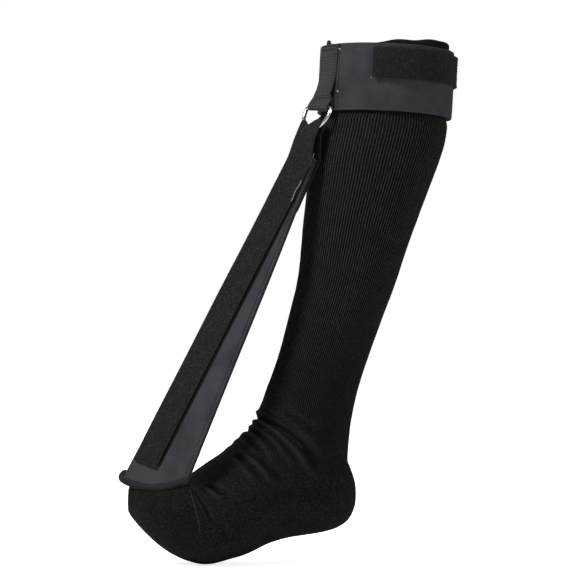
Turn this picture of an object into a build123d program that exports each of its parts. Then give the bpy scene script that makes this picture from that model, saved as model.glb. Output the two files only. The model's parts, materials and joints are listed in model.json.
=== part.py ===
"""Knee-high stretching sock: ribbed knit sock, laminated calf cuff, toe panel and pull strap.

Millimetres, +Z up.  The origin is the centre of the leg opening, at the height of the knit rim.
The toes point to -Y, and the side the cuff closes on is +X.
"""
from build123d import *
import os
from math import cos, radians, sin

os.makedirs("parts", exist_ok=True)

# Driving dimensions
TAPE_WIDTH = 25.0          # every webbing and hook-and-loop tape
WEBBING = 1.4              # webbing and pull strap thickness
HOOK_TAPE = 0.8            # hook or loop tape thickness
KNIT = 1.6                 # sock wall
FABRIC = 0.8               # outer and inner fabric of the padded laminate
FOAM = 2.2                 # foam between the two fabrics
LAMINATE = 2 * FABRIC + FOAM
THREAD = 0.4               # sewing thread standing proud of what it is sewn on
AIR = 0.3                  # running gap between pieces that move apart

# Cuff: a band square to the top of the leg, which leans back a little
CUFF_TILT = 3.0
CUFF_CENTRE = Vector(0, -2, -35.5)
CUFF_HEIGHT = 56.0
CUFF_INSIDE = 53.4
CUFF_OUTSIDE = CUFF_INSIDE + LAMINATE
WELT_HEIGHT = 24.0         # the welt's rim is level and shows above the cuff, most at the calf
UNDERLAP_END = 225.0       # angles go round from the shin (0) by the +X side (90) to the calf (180)
FLAP_ROOT = 250.0
FLAP_END = 181.6
TAB_ROOT = 181.0
TAB_END = 50.0
TAB_HEIGHT = 11.5          # of the tape's middle over the cuff's middle

# Leg: height, forward shift, half width across, half width front to back
LEG_STATIONS = [
    (24, 1.1, 52.2, 52.5),
    (-6, -0.5, 52.2, 52.5),
    (-36, -2, 52.2, 52.5),
    (-58, -3.2, 52.2, 52.5),
    (-72, -5.2, 52.8, 53.1),
    (-90, -9.8, 54.2, 54.6),
    (-117, -17, 52.3, 52.8),
    (-158, -28.5, 46.5, 47),
    (-198, -38.6, 41, 42.4),
    (-239, -52.4, 36.5, 39.8),
    (-279, -67.1, 33.5, 38.7),
    (-319, -82, 33, 43),
    (-362, -86, 29, 44),
]
# Foot: position along the foot, top, bottom, half width, turn of the section toward the linkage
FOOT_STATIONS = [
    (-36, -374, -393, 8, 0),
    (-40, -360, -402, 17, 0),
    (-48, -350, -409, 25, 0),
    (-62, -342, -413, 30, 0),
    (-90, -330, -416, 33, 0),
    (-120, -321, -422, 36, 5),
    (-142, -338, -429, 39, 9),
    (-158, -349, -433, 42, 13),
    (-174, -360, -435, 44, 17),
    (-188, -368, -430, 43, 20),
    (-201, -373, -419, 38, 23),
    (-211, -374.5, -405, 33, 25),
    (-217, -376, -397, 29, 25),
    (-221.5, -379.5, -391, 20, 25),
]
ANKLE = Vector(0, -90, -352)
ANKLE_RADIUS = 62.0        # the knit folds round a drum of this size at the ankle
LINKAGE_TURN = 25.0        # the ankle axis is turned this far outward, as in a real ankle
TOE_SEAM_Y = -204.0

# D-ring and the plane the toe panel lies in
RING_BAR = Vector(2, -66.4, -57.5)
RING_TURN = 12.0
RING_DROP = 4.5
RING_INSIDE = 28.5
RING_WIRE = 3.2
RING_DEPTH = 21.0          # bar middle to bow middle
RING_LEAN = 25.0
SEWN_END = -10.5           # where the hanger leaves the cuff, below the cuff's middle
PANEL_TOP_POINT = Vector(3.6, -71.2, -78.4)
PANEL_BASE_POINT = Vector(2.1, -216.5, -366.8)
PANEL_CHORD = Vector(59, 33, 3)
PANEL_START = 23.0
PANEL_NEAR_CORNER = 311.0
PANEL_FAR_CORNER = 328.0
PANEL_DIP = 6.0            # how far the rounded base reaches past its corners
PANEL_TOP_HALF = 11.5
PANEL_BASE_HALF = 31.0
STRAP_ANGLE = 2.6          # the strap runs a little to the far side of the panel's middle
STRAP_LENGTH = 312.0
STRAP_OVER_PANEL = 1.75    # underside of the strap over the panel's face
STRAP_BEHIND_PANEL = 1.6   # face of the strap's back run behind the panel's back
SLIDE_ROOM = 8.0           # the back run is behind the panel this far before the panel begins
BINDING = 5.0              # bound edge at the panel's base


# Frames -------------------------------------------------------------------------------------
def unit(vector):
    return vector.normalized()


cuff_frame = Plane(CUFF_CENTRE, x_dir=(1, 0, 0),
                   z_dir=(0, sin(radians(CUFF_TILT)), cos(radians(CUFF_TILT))))

linkage_axis = Vector(cos(radians(LINKAGE_TURN)), sin(radians(LINKAGE_TURN)), 0)

# Toe panel: x runs down the panel, y across it to the near side, z out of its face
panel_down = unit(PANEL_BASE_POINT - PANEL_TOP_POINT)
panel_out = unit(panel_down.cross(PANEL_CHORD))
panel_frame = Plane(PANEL_TOP_POINT, x_dir=panel_down, z_dir=panel_out)
strap_frame = Plane(PANEL_TOP_POINT, x_dir=panel_down.rotate(Axis((0, 0, 0), panel_out), -STRAP_ANGLE),
                    z_dir=panel_out)

# D-ring: x runs down from the bar to the bow, y along the bar
bar_along = Vector(cos(radians(RING_TURN)) * cos(radians(RING_DROP)),
                   sin(radians(RING_TURN)) * cos(radians(RING_DROP)),
                   -sin(radians(RING_DROP)))
hang = Vector(0, -sin(radians(RING_LEAN)), -cos(radians(RING_LEAN)))
ring_down = unit(hang - bar_along * hang.dot(bar_along))
ring_frame = Plane(RING_BAR, x_dir=ring_down, z_dir=ring_down.cross(bar_along))


def around(radius, angle):
    """A point in the cuff's plane, angle counted from the shin by the +X side."""
    return Vector(radius * sin(radians(angle)), -radius * cos(radians(angle)))


def arc(radius, start, end):
    return ThreePointArc(around(radius, start), around(radius, (start + end) / 2), around(radius, end))


def tangent(angle):
    return Vector(cos(radians(angle)), sin(radians(angle)))


# Sock ---------------------------------------------------------------------------------------
def leg_form(wall):
    """The leg's outside, made smaller all round by wall."""
    rings = [Plane((0, y, z)) * Ellipse(half_x - wall, half_y - wall)
             for z, y, half_x, half_y in LEG_STATIONS]
    return loft(rings)


def foot_form(wall):
    """The foot's outside, made smaller all round by wall."""
    rings = []
    heel_end, toe_end = FOOT_STATIONS[0][0], FOOT_STATIONS[-1][0]
    for y, top, bottom, half, turn in FOOT_STATIONS:
        y = min(max(y, toe_end + wall), heel_end - wall)
        across = Vector(cos(radians(turn)), sin(radians(turn)), 0)
        at = Plane((0, y, (top + bottom) / 2), x_dir=across, z_dir=across.cross(Vector(0, 0, 1)))
        rings.append(at * Ellipse(half - wall, (top - bottom) / 2 - wall))
    return loft(rings)


def ankle_drum(radius):
    drum = Cylinder(radius, 300)
    return Plane(ANKLE, z_dir=linkage_axis) * drum


def above(plane, size=600):
    """Everything on a plane's +Z side."""
    return plane * Pos(0, 0, size / 2) * Box(size, size, size)


def build_sock():
    body = leg_form(0) + foot_form(0) - leg_form(KNIT) - foot_form(KNIT)
    rim_plane = Plane.XY
    welt_plane = Plane((0, 0, -WELT_HEIGHT))
    ankle_plane = Plane((0, 0, -320))
    body -= above(rim_plane)
    welt = body & above(welt_plane)
    lower = body - above(welt_plane)
    leg = (lower & above(ankle_plane)) - ankle_drum(ANKLE_RADIUS + AIR)
    rest = (lower - above(ankle_plane)) + (lower & above(ankle_plane) & ankle_drum(ANKLE_RADIUS))
    toe_ward = linkage_axis.cross(Vector(0, 0, 1)) - Vector(0, 0, 0.45)
    seam_plane = Plane((0, TOE_SEAM_Y, -394), z_dir=toe_ward)
    toe = rest & above(seam_plane)
    foot = rest - above(seam_plane)
    return {"sock_welt": welt, "sock_leg": leg, "sock_foot": foot, "sock_toe": toe}


# Cuff ---------------------------------------------------------------------------------------
def band(inner, outer, start, end, height, middle=0.0):
    """Part of a ring round the leg, in the cuff's frame."""
    outline = [arc(inner, start, end), Line(around(inner, end), around(outer, end)),
               arc(outer, end, start), Line(around(outer, start), around(inner, start))]
    face = make_face(Wire(outline).edges())
    return cuff_frame * Pos(0, 0, middle - height / 2) * extrude(face, amount=height, dir=(0, 0, 1))


def flap_curve(lift):
    """Plan curve of the flap: over the underlap, then down to the band at its root."""
    over = CUFF_OUTSIDE + AIR + lift
    root = CUFF_INSIDE + lift
    turn = UNDERLAP_END + 6
    lap = arc(over, FLAP_END, turn)
    ramp = Spline(around(over, turn), around(root, FLAP_ROOT - 0.3),
                  tangents=[tangent(turn), tangent(FLAP_ROOT)])
    return [lap, ramp]


def flap_layer(low, high):
    inner = flap_curve(low)
    outer = flap_curve(high)
    first = Line(inner[0] @ 0, outer[0] @ 0)
    last = Line(inner[1] @ 1, outer[1] @ 1)
    face = make_face(Wire(inner + outer + [first, last]).edges())
    return cuff_frame * Pos(0, 0, -CUFF_HEIGHT / 2) * extrude(face, amount=CUFF_HEIGHT, dir=(0, 0, 1))


def build_cuff():
    parts = {}
    levels = {"lining": (0, FABRIC), "foam": (FABRIC, FABRIC + FOAM), "shell": (FABRIC + FOAM, LAMINATE)}
    for name, (low, high) in levels.items():
        parts["cuff_" + name] = band(CUFF_INSIDE + low, CUFF_INSIDE + high,
                                     FLAP_ROOT - 360, UNDERLAP_END, CUFF_HEIGHT)
        parts["flap_" + name] = flap_layer(low, high)
    edge = CUFF_HEIGHT / 2 - 2.8
    threads = [band(CUFF_OUTSIDE, CUFF_OUTSIDE + THREAD, 16, 160, 0.8, side * edge) for side in (1, -1)]
    parts["cuff_stitching"] = Compound(children=threads)
    return parts


def build_tab():
    """Closing tape: sewn on the flap's end, lying on the cuff's outside."""
    on_flap = CUFF_OUTSIDE + AIR + LAMINATE
    sewn = band(on_flap, on_flap + WEBBING, TAB_ROOT + 0.4, TAB_ROOT + 22, TAPE_WIDTH, TAB_HEIGHT)
    landing = TAB_ROOT - 14
    rest = CUFF_OUTSIDE + AIR + THREAD + HOOK_TAPE

    def curve(lift):
        step = Spline(around(rest + lift, landing), around(on_flap + lift, TAB_ROOT),
                      tangents=[tangent(landing), tangent(TAB_ROOT)])
        return [arc(rest + lift, TAB_END, landing), step]

    inner = curve(0)
    outer = curve(WEBBING)
    ends = [Line(inner[0] @ 0, outer[0] @ 0), Line(inner[1] @ 1, outer[1] @ 1)]
    face = make_face(Wire(inner + outer + ends).edges())
    low_edge = Pos(0, 0, TAB_HEIGHT - TAPE_WIDTH / 2)
    tape = cuff_frame * low_edge * extrude(face, amount=TAPE_WIDTH, dir=(0, 0, 1))
    hooks = band(rest - HOOK_TAPE, rest, TAB_END + 2, landing - 4, TAPE_WIDTH - 1, TAB_HEIGHT)
    return {"tab_anchor": sewn, "cuff_tab": tape, "cuff_tab_hooks": hooks}


# Hanger and D-ring --------------------------------------------------------------------------
def slab(frame, x, thick, height):
    """A thin rectangle across a strip: the tape's end face at x down the frame, at a height over it."""
    at = Plane(frame.from_local_coords(Vector(x, 0, height)), x_dir=frame.y_dir, z_dir=frame.x_dir)
    return at * Rectangle(TAPE_WIDTH, thick)


def strip(*faces):
    """A strip of tape through a row of end faces, straight from each to the next."""
    pieces = [loft([faces[i], faces[i + 1]], ruled=True) for i in range(len(faces) - 1)]
    body = pieces[0]
    for piece in pieces[1:]:
        body += piece
    return body


def build_hanger():
    half = TAPE_WIDTH / 2 / CUFF_OUTSIDE * 57.3
    top = CUFF_HEIGHT / 2 - 0.5
    anchor = band(CUFF_OUTSIDE, CUFF_OUTSIDE + WEBBING, -half, half, top - SEWN_END, (top + SEWN_END) / 2)

    pocket = RING_WIRE / 2 + AIR
    sleeve = Cylinder(pocket + WEBBING, TAPE_WIDTH) - Cylinder(pocket, TAPE_WIDTH)
    sleeve = ring_frame * (Rot(X=90) * sleeve)
    start = Plane(cuff_frame.from_local_coords(Vector(0, -CUFF_OUTSIDE - WEBBING - 2.2, SEWN_END - 1.0)),
                  x_dir=(1, 0, 0), z_dir=-cuff_frame.z_dir)
    top_face = start * Rectangle(TAPE_WIDTH, 2 * WEBBING)
    low_face = slab(ring_frame, -pocket - WEBBING / 2, 2 * WEBBING, 0)
    bore = ring_frame * (Rot(X=90) * Cylinder(pocket, TAPE_WIDTH + 10))
    loop = strip(top_face, low_face) + sleeve - bore

    tacks = []
    for row in range(4):
        share = 0.42 + 0.12 * row
        at = start.origin * (1 - share) + ring_frame.from_local_coords(Vector(-pocket, 0, 0)) * share
        along = unit(Vector(1, 0, 0) * (1 - share) + ring_frame.y_dir * share)
        out = unit(ring_frame.x_dir.cross(along))
        bar = Plane(at + out * (WEBBING + THREAD / 2 + 0.25), x_dir=along, z_dir=out)
        tacks.append(bar * Box(TAPE_WIDTH - 4, 0.9, THREAD))
    return {"hanger_anchor": anchor, "hanger_loop": loop,
            "hanger_bartacks": Compound(children=tacks)}


def build_ring():
    """A straight bar, two short limbs and a round bow, as one closed wire."""
    half = (RING_INSIDE + RING_WIRE) / 2
    corner = 4.0
    cut = corner * (1 - cos(radians(45)))
    shoulder = RING_DEPTH - half
    path = Wire([
        Line((0, 0), (0, half - corner)),
        ThreePointArc((0, half - corner), (cut, half - cut), (corner, half)),
        Line((corner, half), (shoulder, half)),
        ThreePointArc((shoulder, half), (RING_DEPTH, 0), (shoulder, -half)),
        Line((shoulder, -half), (corner, -half)),
        ThreePointArc((corner, -half), (cut, cut - half), (0, corner - half)),
        Line((0, corner - half), (0, 0)),
    ])
    section = Plane((0, 0, 0), z_dir=(0, 1, 0)) * Circle(RING_WIRE / 2)
    return {"d_ring": ring_frame * sweep(section, path=path)}


# Pull strap ---------------------------------------------------------------------------------
def strap_hinge_point():
    """Middle of the strap where the front run starts to lift off."""
    out = RING_WIRE / 2 + AIR + WEBBING / 2
    return ring_frame.from_local_coords(Vector(RING_DEPTH + 9.5, 0, out))


def build_strap():
    bow = (RING_INSIDE + RING_WIRE) / 2
    centre = RING_DEPTH - bow
    pocket = RING_WIRE / 2 + AIR
    skin = pocket + WEBBING
    tape_window = Pos(centre + bow, 0, 0) * Box(2 * bow, TAPE_WIDTH, 4 * skin)

    fold = (Torus(bow, skin) - Torus(bow, pocket)) & Cylinder(bow, 4 * skin)
    plate_start = centre
    plate_end = RING_DEPTH + 8
    plates = Box(plate_end - plate_start, TAPE_WIDTH, 2 * skin)
    plates -= Box(plate_end - plate_start + 1, TAPE_WIDTH + 1, 2 * pocket)
    plates = Pos((plate_start + plate_end) / 2, 0, 0) * plates - Pos(centre, 0, 0) * Cylinder(bow, 4 * skin)
    fold = (Pos(centre, 0, 0) * fold) & tape_window
    fold = ring_frame * (fold + plates)

    middle = pocket + WEBBING / 2
    behind = -LAMINATE - STRAP_BEHIND_PANEL - WEBBING / 2
    back = strip(slab(ring_frame, plate_end, WEBBING, -middle),
                 slab(panel_frame, PANEL_START - SLIDE_ROOM, WEBBING, behind),
                 slab(panel_frame, PANEL_START + 48, WEBBING, behind))

    level = STRAP_OVER_PANEL + WEBBING / 2
    hinge = Plane(strap_hinge_point(), z_dir=ring_frame.y_dir)
    round_end = hinge * Cylinder(WEBBING / 2, TAPE_WIDTH)
    front = strip(slab(ring_frame, RING_DEPTH + 9.5, WEBBING, middle),
                  slab(strap_frame, 48, WEBBING, level),
                  slab(strap_frame, STRAP_LENGTH, WEBBING, level)) + round_end
    hooks = strap_frame * Pos(STRAP_LENGTH - 36, 0, STRAP_OVER_PANEL - HOOK_TAPE / 2)
    hooks = hooks * Box(64, TAPE_WIDTH - 1, HOOK_TAPE)
    return {"pull_strap_loop": fold + back, "pull_strap_front": front, "pull_strap_hooks": hooks}


# Toe panel ----------------------------------------------------------------------------------
def panel_outline():
    """Long taper with a slanting, slightly rounded base, drawn in the panel's frame."""
    near = (PANEL_NEAR_CORNER, PANEL_BASE_HALF)
    far = (PANEL_FAR_CORNER, -PANEL_BASE_HALF)
    low = ((PANEL_NEAR_CORNER + PANEL_FAR_CORNER) / 2 + PANEL_DIP, 0)
    sides = [Line((PANEL_START, -PANEL_TOP_HALF), (PANEL_START, PANEL_TOP_HALF)),
             Line((PANEL_START, PANEL_TOP_HALF), near),
             ThreePointArc(near, low, far),
             Line(far, (PANEL_START, -PANEL_TOP_HALF))]
    return make_face(Wire(sides).edges())


def build_panel():
    parts = {}
    outline = panel_outline()
    levels = {"face": (-FABRIC, 0), "foam": (-FABRIC - FOAM, -FABRIC), "backing": (-LAMINATE, -FABRIC - FOAM)}
    for name, (low, high) in levels.items():
        parts["panel_" + name] = panel_frame * Pos(0, 0, low) * extrude(outline, amount=high - low, dir=(0, 0, 1))

    strip_length = 250.0
    middle = Pos(STRAP_LENGTH - 3 - strip_length / 2, 0, HOOK_TAPE / 2)
    landing = panel_frame * Rot(Z=-STRAP_ANGLE / 2)
    parts["panel_hook_strip"] = landing * middle * Box(strip_length, TAPE_WIDTH, HOOK_TAPE)

    base = outline.edges().filter_by(GeomType.CIRCLE)[0]
    rim_path = panel_frame * Pos(0, 0, -LAMINATE / 2) * base
    section = Plane(rim_path @ 0, z_dir=rim_path % 0) * Circle(BINDING / 2 + 0.6)
    rim = sweep(section, path=rim_path)
    for name in ("face", "foam", "backing"):
        rim -= parts["panel_" + name]
    parts["panel_binding"] = rim - parts["panel_hook_strip"]
    return parts


def build_all():
    parts = {}
    for builder in (build_sock, build_cuff, build_tab, build_hanger, build_ring, build_strap, build_panel):
        parts.update(builder())
    return parts


for name, shape in build_all().items():
    export_step(shape, f"parts/{name}.step")
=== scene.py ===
"""Looks for the stretching sock: knit, padded laminate, hook-and-loop tape, webbing and a steel ring."""
import json
from math import cos, pi, radians, sin

import bmesh
import bpy
import numpy as np
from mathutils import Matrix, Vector
from mathutils.bvhtree import BVHTree


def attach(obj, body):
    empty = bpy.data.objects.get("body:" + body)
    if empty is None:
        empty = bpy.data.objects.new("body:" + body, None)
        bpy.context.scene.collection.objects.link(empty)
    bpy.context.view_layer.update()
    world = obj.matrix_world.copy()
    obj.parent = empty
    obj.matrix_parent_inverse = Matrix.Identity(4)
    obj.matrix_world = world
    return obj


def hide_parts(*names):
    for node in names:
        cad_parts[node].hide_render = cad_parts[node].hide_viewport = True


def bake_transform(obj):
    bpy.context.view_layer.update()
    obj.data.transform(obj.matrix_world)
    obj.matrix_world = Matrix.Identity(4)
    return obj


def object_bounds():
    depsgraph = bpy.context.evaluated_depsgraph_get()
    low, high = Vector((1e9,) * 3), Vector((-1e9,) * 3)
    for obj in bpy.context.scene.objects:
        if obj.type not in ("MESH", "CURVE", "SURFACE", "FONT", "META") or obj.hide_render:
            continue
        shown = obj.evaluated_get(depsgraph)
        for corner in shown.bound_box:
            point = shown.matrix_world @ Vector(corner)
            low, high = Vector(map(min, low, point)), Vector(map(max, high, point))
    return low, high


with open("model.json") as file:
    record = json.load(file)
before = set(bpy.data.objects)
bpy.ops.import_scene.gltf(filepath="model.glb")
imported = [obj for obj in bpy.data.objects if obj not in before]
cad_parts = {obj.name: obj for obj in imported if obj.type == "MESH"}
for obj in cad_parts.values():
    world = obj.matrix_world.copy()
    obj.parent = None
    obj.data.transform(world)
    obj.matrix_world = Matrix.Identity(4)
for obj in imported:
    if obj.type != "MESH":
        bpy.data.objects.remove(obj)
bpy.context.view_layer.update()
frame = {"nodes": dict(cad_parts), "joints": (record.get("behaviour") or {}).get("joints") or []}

MM = 0.001
rng = np.random.default_rng(7)
shown = []


# ---- measuring the frame ----
def unit(v):
    v = np.asarray(v, float)
    return v / np.linalg.norm(v, axis=-1, keepdims=True)


def points(*names):
    """Corners of CAD nodes, one row each, in metres."""
    rows = [[v.co for v in frame["nodes"][name].data.vertices] for name in names]
    return np.array([co for row in rows for co in row], float)


def joint(name):
    found = [j for j in frame["joints"] if j["name"] == name][0]
    return np.array(found["pos_m"], float), unit(found["axis"])


def biggest_face_normal(name):
    """Normal of the largest flat side of a thin CAD node."""
    mesh = frame["nodes"][name].data
    normals = np.array([p.normal for p in mesh.polygons])
    areas = np.array([p.area for p in mesh.polygons])
    keys = np.round(normals, 2)
    best = max({tuple(k) for k in keys}, key=lambda k: areas[(keys == k).all(1)].sum())
    return unit(normals[(keys == best).all(1)].mean(0))


class Axes:
    """A local frame: origin and three directions."""

    def __init__(self, origin, x, y, z):
        self.origin = np.asarray(origin, float)
        self.rows = np.array([unit(x), unit(y), unit(z)])

    def to_row(self, local):
        return self.origin + np.asarray(local, float) @ self.rows

    def to_local(self, world):
        return (np.asarray(world, float) - self.origin) @ self.rows.T


# ---- building meshes ----
def make_object(name, verts, faces, uvs=None, smooth=True):
    mesh = bpy.data.meshes.new(name)
    mesh.from_pydata([tuple(v) for v in verts], [], [tuple(int(i) for i in f) for f in faces])
    if uvs is not None:
        layer = mesh.uv_layers.new(name="UVMap")
        index = np.empty(len(mesh.loops), int)
        mesh.loops.foreach_get("vertex_index", index)
        layer.data.foreach_set("uv", np.asarray(uvs, float)[index].ravel())
    if smooth:
        mesh.polygons.foreach_set("use_smooth", [True] * len(mesh.polygons))
    mesh.validate()
    face_outward(mesh)
    obj = bpy.data.objects.new(name, mesh)
    bpy.context.collection.objects.link(obj)
    shown.append(obj)
    return obj


def face_outward(mesh):
    shape = bmesh.new()
    shape.from_mesh(mesh)
    bmesh.ops.recalc_face_normals(shape, faces=shape.faces)
    shape.to_mesh(mesh)
    shape.free()
    mesh.update()


def grid_faces(nu, nv, first=0, wrap=False, flip=False):
    last = nv if wrap else nv - 1
    faces = []
    for i in range(nu - 1):
        for j in range(last):
            a = first + i * nv + j
            b = first + i * nv + (j + 1) % nv
            quad = (a, b, b + nv, a + nv)
            faces.append(quad[::-1] if flip else quad)
    return faces


def grid_normals(grid, outward=None):
    """Unit normals of a grid of points; outward is any direction they should lean to."""
    du = np.gradient(grid, axis=0)
    dv = np.gradient(grid, axis=1)
    n = unit(np.cross(du, dv) + 1e-15)
    if outward is not None and np.sum(n * outward) < 0:
        n = -n
    return n


def run_lengths(grid, axis):
    step = np.linalg.norm(np.diff(grid, axis=axis), axis=-1)
    zero = np.zeros_like(np.take(step, [0], axis=axis))
    return np.cumsum(np.concatenate([zero, step], axis=axis), axis=axis)


def edged(count, length, edge):
    """Positions from 0 to 1 with extra rows close to both ends, so that an edge can be rounded."""
    e = edge / length
    inner = np.linspace(e, 1 - e, count)
    near = e * np.array([0, 0.12, 0.4, 0.7])
    return np.concatenate([near, inner, 1 - near[::-1]])


def slab(name, grid, thick, outward, edge=0.5 * MM, lift=None):
    """A closed sheet of cloth: grid is its middle surface, edges rounded over a width of edge."""
    nu, nv = grid.shape[:2]
    n = grid_normals(grid, outward)
    along = run_lengths(grid, 0)
    across = run_lengths(grid, 1)
    ends = np.minimum(along, along[-1:] - along)
    sides = np.minimum(across, across[:, -1:] - across)
    near = np.clip(np.minimum(ends, sides) / edge, 0, 1)
    round_off = 0.25 + 0.75 * np.sqrt(1 - (1 - near) ** 2)
    half = (thick / 2 * round_off)[..., None]
    top = grid + n * half
    if lift is not None:
        top = top + n * (lift * round_off)[..., None]
    bottom = grid - n * half
    verts = np.concatenate([top.reshape(-1, 3), bottom.reshape(-1, 3)])
    flip = np.sum(grid_normals(grid) * n) < 0
    faces = grid_faces(nu, nv, 0, flip=flip) + grid_faces(nu, nv, nu * nv, flip=not flip)
    loop = [(0, j) for j in range(nv)] + [(i, nv - 1) for i in range(1, nu)]
    loop += [(nu - 1, j) for j in range(nv - 2, -1, -1)] + [(i, 0) for i in range(nu - 2, 0, -1)]
    ids = [i * nv + j for i, j in loop]
    for a, b in zip(ids, ids[1:] + ids[:1]):
        quad = (b, a, a + nu * nv, b + nu * nv)
        faces.append(quad[::-1] if flip else quad)
    uv = np.stack([across, along], -1).reshape(-1, 2) / (10 * MM)
    return make_object(name, verts, faces, np.concatenate([uv, uv]))


def tube(name, path, radius, sides=12, closed=False, out=None, bumps=None):
    """A round tube along a path of points; radius may change along it."""
    path = np.asarray(path, float)
    count = len(path)
    if closed:
        tangent = unit(np.roll(path, -1, 0) - np.roll(path, 1, 0))
    else:
        tangent = unit(np.gradient(path, axis=0))
    up = unit(out if out is not None else (0.3, 0.5, 0.8))
    side = unit(np.cross(tangent, up))
    up = np.cross(side, tangent)
    turn = np.arange(sides) * 2 * pi / sides
    r = np.broadcast_to(np.asarray(radius, float), (count,))[:, None]
    if bumps is not None:
        r = r + bumps
    ring = path[:, None] + (side[:, None] * np.cos(turn)[None, :, None]
                            + up[:, None] * np.sin(turn)[None, :, None]) * r[..., None]
    verts = ring.reshape(-1, 3)
    faces = grid_faces(count, sides, wrap=True, flip=True)
    if closed:
        faces += [(((count - 1) * sides) + j, ((count - 1) * sides) + (j + 1) % sides,
                   (j + 1) % sides, j)[::-1] for j in range(sides)]
    else:
        faces += [tuple(range(sides)), tuple(range((count - 1) * sides, count * sides))[::-1]]
    length = run_lengths(path, 0) / (10 * MM)
    uv = np.stack([np.broadcast_to(turn, (count, sides)), np.repeat(length[:, None], sides, 1)], -1)
    return make_object(name, verts, faces, uv.reshape(-1, 2))


def join(name, objects):
    """One object from several, keeping their meshes as they are."""
    verts, faces, first = [], [], 0
    for obj in objects:
        mesh = obj.data
        co = np.empty(len(mesh.vertices) * 3)
        mesh.vertices.foreach_get("co", co)
        verts.append(co.reshape(-1, 3))
        faces += [tuple(first + i for i in p.vertices) for p in mesh.polygons]
        first += len(mesh.vertices)
        shown.remove(obj)
        bpy.data.objects.remove(obj)
    return make_object(name, np.concatenate(verts), faces)


def threads(name, starts, ends, outs, radius, arch=0.25 * MM, sides=6):
    """Many short stitches in one mesh, each arching a little out of the cloth."""
    starts, ends, outs = (np.asarray(a, float) for a in (starts, ends, outs))
    shape = [(0.0, 0.25, -0.6), (0.14, 0.8, 0.35), (0.5, 1.0, 1.0), (0.86, 0.8, 0.35), (1.0, 0.25, -0.6)]
    along = unit(ends - starts)
    outs = unit(outs - along * np.sum(outs * along, -1, keepdims=True))
    side = np.cross(along, outs)
    turn = np.arange(sides) * 2 * pi / sides
    rings = []
    for share, size, rise in shape:
        middle = starts + (ends - starts) * share + outs * arch * rise
        ring = (side[:, None] * np.cos(turn)[None, :, None] + outs[:, None] * np.sin(turn)[None, :, None])
        rings.append(middle[:, None] + ring * radius * size)
    verts = np.stack(rings, 1).reshape(-1, 3)
    faces = []
    for k in range(len(starts)):
        first = k * len(shape) * sides
        faces += grid_faces(len(shape), sides, first, wrap=True, flip=True)
        faces.append(tuple(first + j for j in range(sides)))
        end = first + (len(shape) - 1) * sides
        faces.append(tuple(end + j for j in range(sides))[::-1])
    return make_object(name, verts, faces)


def sew(name, path, outs, pitch=2.6 * MM, fill=0.72, radius=0.24 * MM):
    """A row of stitches along a path of points."""
    path = np.asarray(path, float)
    length = run_lengths(path, 0)
    marks = np.arange(0, length[-1] - pitch, pitch)

    def at(values, where):
        return np.stack([np.interp(where, length, values[:, k]) for k in range(3)], -1)

    outs = np.broadcast_to(np.asarray(outs, float), path.shape)
    return threads(name, at(path, marks), at(path, marks + pitch * fill), at(outs, marks + pitch / 2), radius)


def fuzz(name, grid, outward, count, length, radius=0.045 * MM):
    """Loose loops and fibre ends standing out of brushed tape."""
    n = grid_normals(grid, outward)
    nu, nv = grid.shape[:2]
    i = rng.uniform(1, nu - 2, count)
    j = rng.uniform(0, nv - 1.01, count)
    a, b = i.astype(int), j.astype(int)
    fi, fj = (i - a)[:, None], (j - b)[:, None]
    root = (grid[a, b] * (1 - fi) * (1 - fj) + grid[a + 1, b] * fi * (1 - fj)
            + grid[a, b + 1] * (1 - fi) * fj + grid[a + 1, b + 1] * fi * fj)
    out = n[a, b]
    lean = rng.normal(0, 1, (count, 3))
    lean = unit(lean - out * np.sum(lean * out, -1, keepdims=True))
    size = length * rng.uniform(0.5, 1.3, count)[:, None]
    steps = [(0.0, 0.0, 1.0), (0.45, 0.35, 0.8), (0.6, 0.9, 0.35)]
    rings = []
    side = np.cross(out, lean)
    for rise, shift, width in steps:
        middle = root + out * size * rise + lean * size * shift
        ring = [middle + (side * cos(t) + out * sin(t)) * radius * width for t in (0, 2 * pi / 3, 4 * pi / 3)]
        rings.append(np.stack(ring, 1))
    verts = np.stack(rings, 1).reshape(-1, 3)
    faces = []
    for k in range(count):
        faces += grid_faces(3, 3, k * 9, wrap=True, flip=True)
        faces += [(k * 9, k * 9 + 1, k * 9 + 2), (k * 9 + 8, k * 9 + 7, k * 9 + 6)]
    return make_object(name, verts, faces)


def noise(grid, size, seed=0):
    """Smooth random values from -1 to 1 over a grid of points, with waves about size metres long."""
    local = np.random.default_rng(seed)
    total = np.zeros(grid.shape[:-1])
    for _ in range(10):
        way = unit(local.normal(0, 1, 3)) * 2 * pi / (size * local.uniform(0.7, 1.6))
        total += np.sin(grid @ way + local.uniform(0, 2 * pi))
    return total / 4.5


# ---- frames taken from the CAD ----
_, cuff_up = joint("cuff_open")
ankle, _ = joint("ankle_flex")
bar, _ = joint("ring_swing")
lift_point, lift_axis = joint("strap_peel")


def cuff_axes():
    """Circle fit of the cuff's outer fabric: z up the band, y toward the calf."""
    x = unit(np.cross([0, 1, 0], cuff_up))
    y = np.cross(cuff_up, x)
    flat = Axes((0, 0, 0), x, y, cuff_up).to_local(points("cuff_shell"))
    system = np.c_[2 * flat[:, :2], np.ones(len(flat))]
    centre = np.linalg.lstsq(system, (flat[:, :2] ** 2).sum(1), rcond=None)[0][:2]
    middle = (flat[:, 2].min() + flat[:, 2].max()) / 2
    origin = x * centre[0] + y * centre[1] + cuff_up * middle
    return Axes(origin, x, y, cuff_up)


cuff = cuff_axes()


def polar(name):
    """Angles, radii and heights of a band's corners; angles start at the shin and turn by +X."""
    p = cuff.to_local(points(name))
    angle = np.degrees(np.arctan2(p[:, 0], -p[:, 1]))
    r = np.hypot(p[:, 0], p[:, 1])
    return angle, r, p[:, 2]


def around(angle, r, z):
    """Points in the cuff's frame from angles in degrees."""
    a = np.radians(angle)
    return np.stack(np.broadcast_arrays(r * np.sin(a), -r * np.cos(a), z), -1)


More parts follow.
